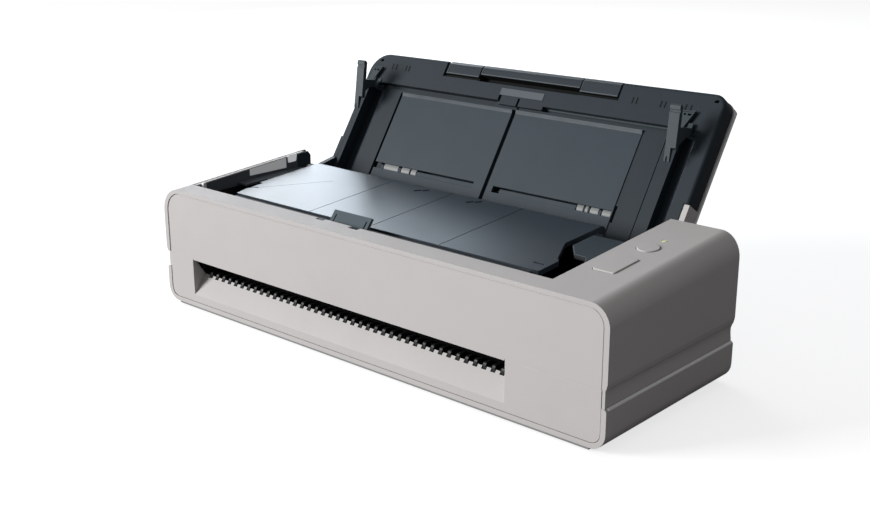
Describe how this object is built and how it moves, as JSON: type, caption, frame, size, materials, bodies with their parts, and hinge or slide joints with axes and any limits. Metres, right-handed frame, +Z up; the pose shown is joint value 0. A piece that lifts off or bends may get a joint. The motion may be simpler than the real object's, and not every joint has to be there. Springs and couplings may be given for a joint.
{
  "type": "document scanner",
  "caption": "Compact counter-top document scanner with a fold-back chute cover, sliding sheet guides, a top output bed with a stopper flap and a front slot for cards and booklets.",
  "frame": {"origin": "on the table, under the middle of the bounding box with the cover open", "axes": "+X to the operator's right (control end), +Y to the back, +Z up; the front slot faces -Y"},
  "size_m": [0.296, 0.1652, 0.1267],
  "materials": {
    "shell": "fine grain, warm light grey",
    "slate": "smooth semi-gloss slate",
    "dark": "fine grain, near black",
    "base_plate": "fine grain, dark grey",
    "rubber": "matt",
    "steel": "plated",
    "white": "smooth off-white",
    "glass": "clear",
    "board": "coated laminate",
    "lamp": "diffusing lens"
  },
  "bodies": {
    "base": {"upper_shell": "shell", "front_panel": "shell", "base_shell": "shell", "scoop_panel": "shell", "bottom_plate": "base_plate", "foot_front_left": "rubber", "foot_front_right": "rubber", "foot_rear_left": "rubber", "foot_rear_right": "rubber", "inner_deck": "dark", "bed_hinge_rod": "steel", "drive_side_cover": "slate", "left_frame": "steel", "right_frame": "steel", "hinge_bracket_left": "dark", "hinge_bracket_right": "dark", "hinge_pin_left": "steel", "hinge_pin_right": "steel", "lower_guide": "dark", "upper_guide": "dark", "lower_sensor": "dark", "lower_glass": "glass", "upper_sensor": "dark", "upper_glass": "glass", "turn_guide": "dark", "separation_pad": "rubber", "drive_motor": "steel", "main_board": "board", "usb_port": "steel", "power_inlet": "dark", "status_lamp": "lamp"},
    "cover": {"cover_shell": "shell", "cover_tray": "slate", "chute_panel_left": "slate", "chute_panel_right": "slate", "cover_screw_left": "steel", "cover_screw_right": "steel"},
    "bed": {"stacker_bed": "slate"},
    "stopper": {"stopper_flap": "slate"},
    "guide_left": {"side_guide_left": "slate"},
    "guide_right": {"side_guide_right": "slate"},
    "guide_gear": {"guide_pinion": "white"},
    "extension_stage_one": {"extension_lower": "slate"},
    "extension_stage_two": {"extension_upper": "slate"},
    "power_key": {"power_button": "shell"},
    "scan_key": {"scan_button": "shell"},
    "front_drive": {"front_shaft": "steel", "front_roller": "rubber", "front_gear": "white"},
    "rear_drive": {"rear_shaft": "steel", "rear_roller": "rubber", "rear_gear": "white"},
    "idler": {"idler_gear": "white"},
    "motor_gear": {"motor_pinion": "steel"},
    "feed_drive": {"feed_shaft": "steel", "feed_roller": "rubber"},
    "front_pinch": {"front_pinch_roller": "white"},
    "rear_pinch": {"rear_pinch_roller": "white"},
    "eject_left": {"eject_roller_left": "white"},
    "eject_right": {"eject_roller_right": "white"}
  },
  "joints": [
    {"name": "cover_hinge", "type": "hinge", "parent": "base", "child": "cover", "pos_m": [0, 0.0157, 0.0599], "axis": [1, 0, 0], "range_deg": [0, 125.2]},
    {"name": "bed_hinge", "type": "hinge", "parent": "base", "child": "bed", "pos_m": [-0.014, -0.0546, 0.0572], "axis": [-1, 0, 0], "range_deg": [-35, 0]},
    {"name": "stopper_hinge", "type": "hinge", "parent": "base", "child": "stopper", "pos_m": [-0.0155, -0.0692, 0.0634], "axis": [-1, 0, 0], "range_deg": [0, 50]},
    {"name": "guide_left_slide", "type": "slide", "parent": "cover", "child": "guide_left", "axis": [-1, 0, 0], "range_m": [-0.08, 0]},
    {"name": "guide_right_slide", "type": "slide", "parent": "cover", "child": "guide_right", "axis": [1, 0, 0], "range_m": [-0.08, 0]},
    {"name": "guide_gear_turn", "type": "hinge", "parent": "cover", "child": "guide_gear", "pos_m": [-0.014, 0.06631, 0.11158], "axis": [0, -0.8348, 0.5505], "range_deg": [-1440, 90]},
    {"name": "extension_one_slide", "type": "slide", "parent": "cover", "child": "extension_stage_one", "axis": [0, 0.5505, 0.8348], "range_m": [0, 0.045]},
    {"name": "extension_two_slide", "type": "slide", "parent": "extension_stage_one", "child": "extension_stage_two", "axis": [0, 0.5505, 0.8348], "range_m": [0, 0.04]},
    {"name": "power_press", "type": "slide", "parent": "base", "child": "power_key", "axis": [0, 0.071, -0.9975], "range_m": [0, 0.0008], "stiffness_N_per_m": 300, "springref_m": -0.001},
    {"name": "scan_press", "type": "slide", "parent": "base", "child": "scan_key", "axis": [0, 0.071, -0.9975], "range_m": [0, 0.0008], "stiffness_N_per_m": 300, "springref_m": -0.001},
    {"name": "front_roller_turn", "type": "hinge", "parent": "base", "child": "front_drive", "pos_m": [-0.0155, -0.0546, 0.0132], "axis": [1, 0, 0], "continuous": true},
    {"name": "rear_roller_turn", "type": "hinge", "parent": "base", "child": "rear_drive", "pos_m": [-0.0155, -0.0166, 0.0132], "axis": [1, 0, 0], "continuous": true},
    {"name": "idler_turn", "type": "hinge", "parent": "base", "child": "idler", "pos_m": [0.1005, -0.0356, 0.017], "axis": [1, 0, 0], "continuous": true},
    {"name": "motor_turn", "type": "hinge", "parent": "base", "child": "motor_gear", "pos_m": [0.1005, -0.0356, 0.03238], "axis": [1, 0, 0], "continuous": true},
    {"name": "feed_roller_turn", "type": "hinge", "parent": "base", "child": "feed_drive", "pos_m": [-0.0155, 0.0084, 0.039], "axis": [1, 0, 0], "continuous": true},
    {"name": "front_pinch_turn", "type": "hinge", "parent": "base", "child": "front_pinch", "pos_m": [-0.0155, -0.0546, 0.0279], "axis": [1, 0, 0], "continuous": true},
    {"name": "rear_pinch_turn", "type": "hinge", "parent": "base", "child": "rear_pinch", "pos_m": [-0.0155, -0.0166, 0.0279], "axis": [1, 0, 0], "continuous": true},
    {"name": "eject_left_turn", "type": "hinge", "parent": "cover", "child": "eject_left", "pos_m": [-0.058, 0.03862, 0.06395], "axis": [1, 0, 0], "continuous": true},
    {"name": "eject_right_turn", "type": "hinge", "parent": "cover", "child": "eject_right", "pos_m": [0.03, 0.03862, 0.06395], "axis": [1, 0, 0], "continuous": true}
  ],
  "couplings": [
    {"joint": "stopper_hinge", "follows": "cover_hinge", "ratio": 0.395},
    {"joint": "guide_right_slide", "follows": "guide_left_slide", "ratio": 1},
    {"joint": "guide_gear_turn", "follows": "guide_left_slide", "rad_per_m": 285.71},
    {"joint": "rear_roller_turn", "follows": "front_roller_turn", "ratio": 1},
    {"joint": "idler_turn", "follows": "front_roller_turn", "ratio": -0.69565},
    {"joint": "motor_turn", "follows": "front_roller_turn", "ratio": 2}
  ]
}
